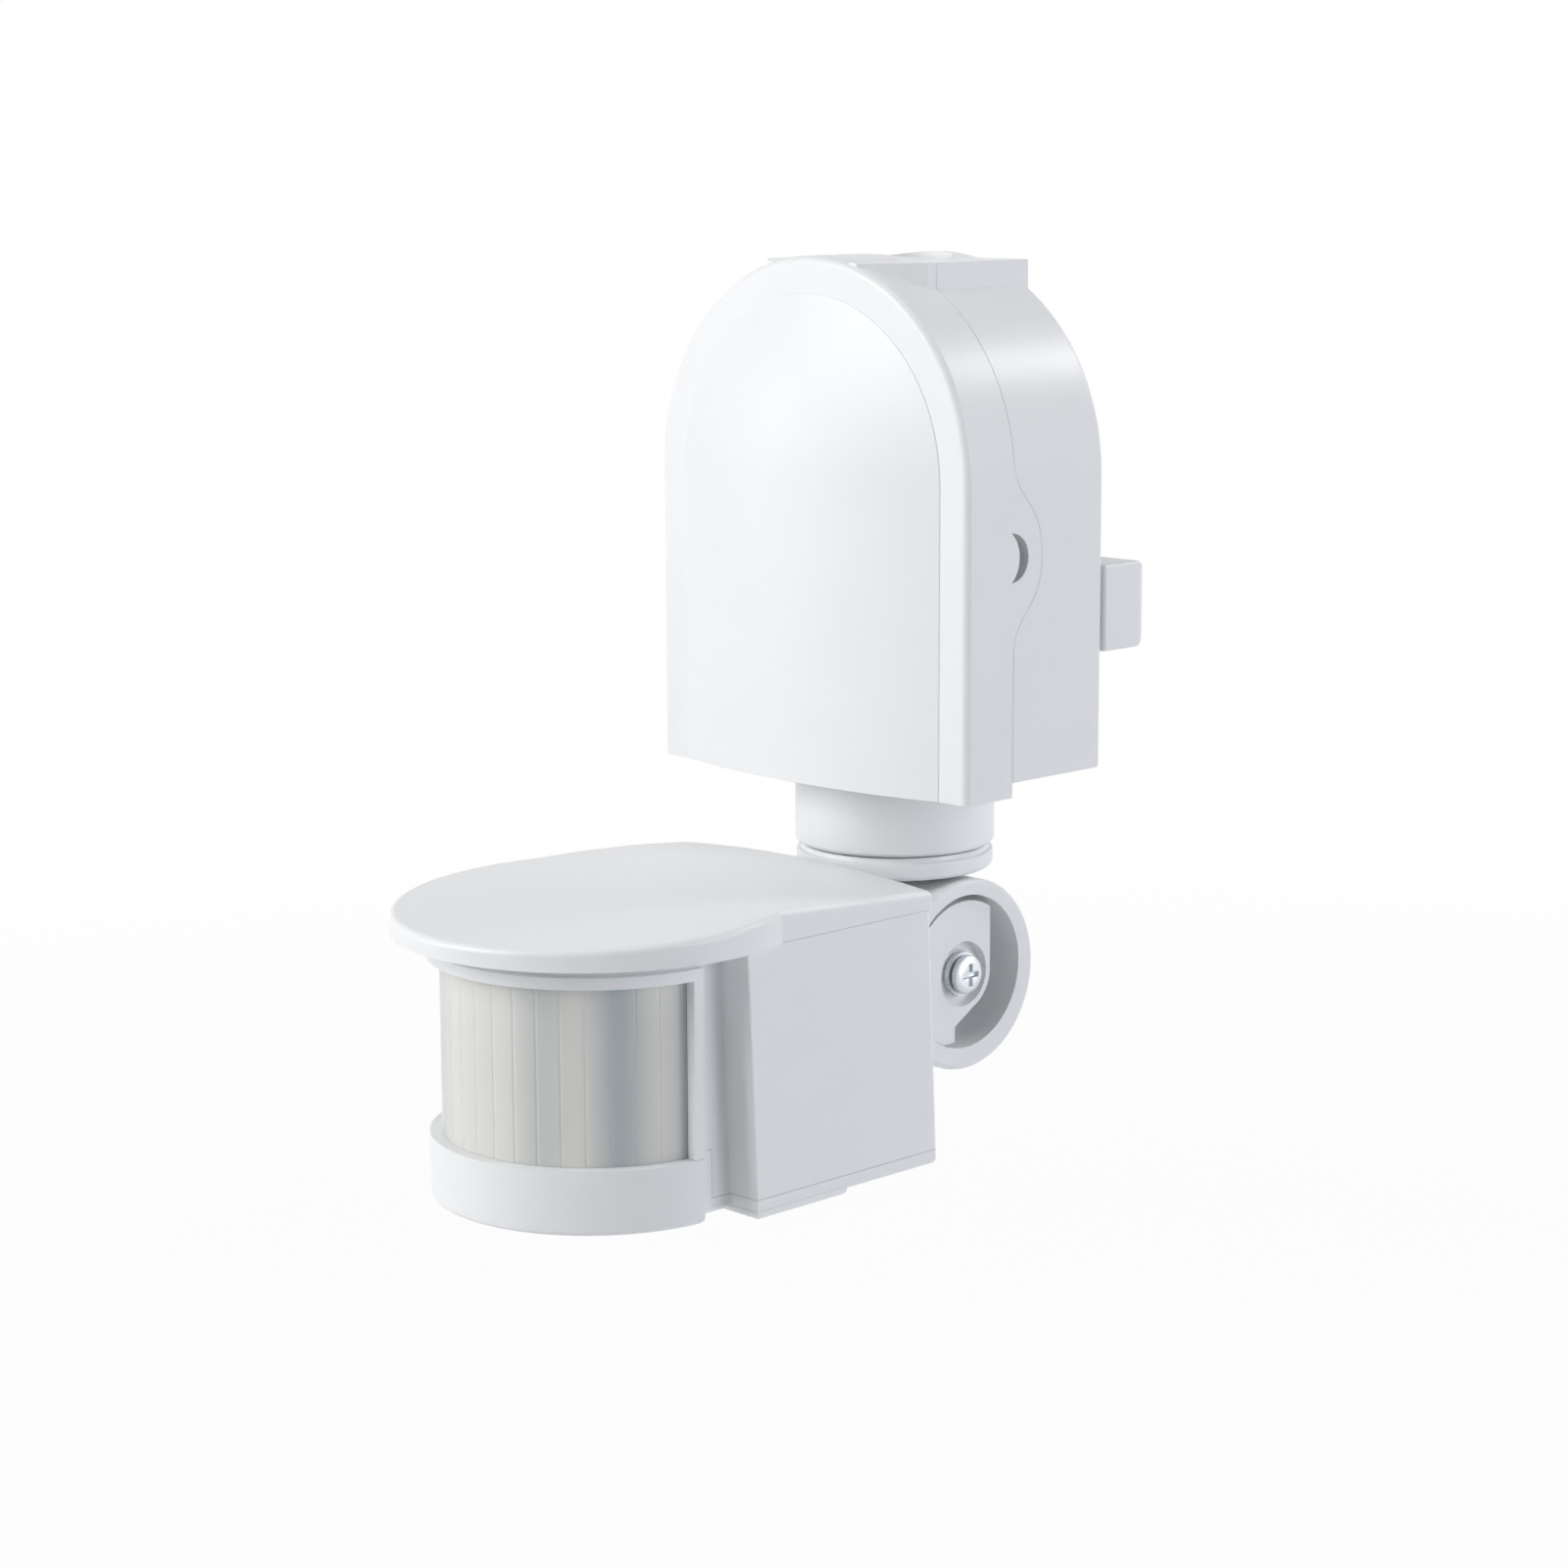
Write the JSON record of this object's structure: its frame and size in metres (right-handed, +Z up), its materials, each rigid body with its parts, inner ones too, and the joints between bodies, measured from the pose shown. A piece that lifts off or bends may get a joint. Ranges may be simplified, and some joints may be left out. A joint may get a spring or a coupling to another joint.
{
  "type": "motion sensor",
  "caption": "Outdoor wall-mounted infrared motion sensor: arched terminal housing on a wall bar, panning neck, tilting head with a visor roof, half-round lens and setting dials.",
  "frame": {"origin": "middle of the wall bar's flat back face, which lies on the wall", "axes": "+X to the right as seen from the room, +Y into the wall, so the head points along -Y, +Z up"},
  "size_m": [0.064, 0.1123, 0.1324],
  "materials": {
    "white_plastic": "semi-gloss moulded white plastic",
    "lens_plastic": "milky ribbed lens sheet",
    "black_rubber": "soft moulded rubber",
    "grey_rubber": "soft sealing rubber",
    "steel": "zinc plated steel",
    "brass": "bright brass",
    "terminal_plastic": "natural nylon",
    "board_green": "solder-masked circuit board",
    "can_metal": "plated sensor can",
    "filter_glass": "dark infrared filter",
    "relay_blue": "moulded relay case",
    "capacitor_yellow": "dipped capacitor case",
    "capacitor_black": "shrink sleeve",
    "trimmer_blue": "moulded trimmer case",
    "dial_grey": "moulded grey plastic",
    "led_red": "clear red epoxy",
    "cell_cream": "photocell ceramic"
  },
  "bodies": {
    "housing": {"wall_bracket": "white_plastic", "rear_base": "white_plastic", "front_cover": "white_plastic", "cover_gasket": "grey_rubber", "rear_grommet": "black_rubber", "top_entry_plug": "white_plastic", "terminal_block": "terminal_plastic", "terminal_screw_1": "brass", "terminal_screw_2": "brass", "terminal_screw_3": "brass", "block_screw_left": "steel", "block_screw_right": "steel", "bracket_screw_left": "steel", "bracket_screw_right": "steel"},
    "neck": {"neck_sleeve": "white_plastic", "neck_seal_ring": "black_rubber", "neck_retaining_clip": "steel", "pivot_yoke": "white_plastic", "pivot_screw": "steel", "lock_washer": "steel", "pivot_nut": "steel", "friction_washer": "black_rubber"},
    "head": {"head_body": "white_plastic", "visor_roof": "white_plastic", "bottom_shell": "white_plastic", "fresnel_lens": "lens_plastic", "head_screw_1": "steel", "head_screw_2": "steel", "head_screw_3": "steel", "head_screw_4": "steel", "board_screw_1": "steel", "board_screw_2": "steel", "main_board": "board_green", "sensor_board": "board_green", "pyro_sensor": "can_metal", "pyro_window": "filter_glass", "photocell": "cell_cream", "led_indicator": "led_red", "relay": "relay_blue", "film_capacitor": "capacitor_yellow", "smoothing_capacitor": "capacitor_black", "time_trimmer": "trimmer_blue", "light_trimmer": "trimmer_blue", "range_trimmer": "trimmer_blue"},
    "time_dial_knob": {"time_dial": "dial_grey"},
    "light_dial_knob": {"light_dial": "dial_grey"},
    "range_dial_knob": {"range_dial": "dial_grey"}
  },
  "joints": [
    {"name": "neck_pan", "type": "hinge", "parent": "housing", "child": "neck", "pos_m": [0, -0.0218, -0.0315], "axis": [0, 0, 1], "range_deg": [-80, 80]},
    {"name": "head_tilt", "type": "hinge", "parent": "neck", "child": "head", "pos_m": [0, -0.0218, -0.0564], "axis": [1, 0, 0], "range_deg": [-8, 50]},
    {"name": "time_dial_turn", "type": "hinge", "parent": "head", "child": "time_dial_knob", "pos_m": [-0.013, -0.0688, -0.079], "axis": [0, 0, 1], "range_deg": [-135, 135]},
    {"name": "light_dial_turn", "type": "hinge", "parent": "head", "child": "light_dial_knob", "pos_m": [0, -0.0688, -0.079], "axis": [0, 0, 1], "range_deg": [-135, 135]},
    {"name": "range_dial_turn", "type": "hinge", "parent": "head", "child": "range_dial_knob", "pos_m": [0.013, -0.0688, -0.079], "axis": [0, 0, 1], "range_deg": [-135, 135]}
  ]
}
